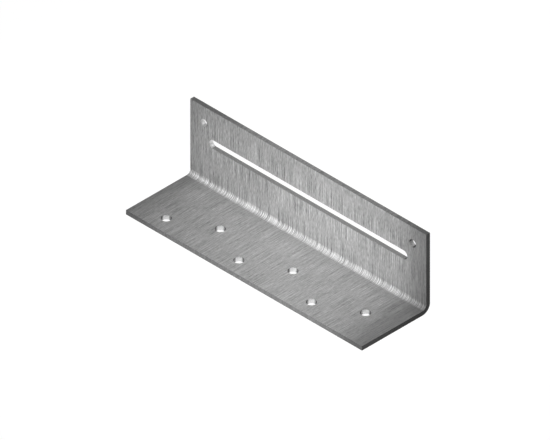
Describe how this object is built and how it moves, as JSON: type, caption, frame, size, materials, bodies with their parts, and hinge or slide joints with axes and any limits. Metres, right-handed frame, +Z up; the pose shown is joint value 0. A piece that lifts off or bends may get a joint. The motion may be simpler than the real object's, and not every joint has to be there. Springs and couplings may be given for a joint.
{
  "type": "angle bracket",
  "caption": "Folded sheet-steel angle bracket: staggered round holes in the base flange, and a long round-ended slot below small corner holes in the upright flange.",
  "frame": {"origin": "middle of the bracket's footprint, at the underside of the base flange", "axes": "+X runs along the fold, +Y from the base's front edge to the upright flange's back face, +Z up the upright flange"},
  "size_m": [0.165, 0.0476, 0.0476],
  "materials": {
    "brushed_steel": "satin steel sheet, brushed across the fold on both flanges, with darker cut edges"
  },
  "bodies": {
    "root": {"angle_bracket": "brushed_steel"}
  },
  "joints": []
}
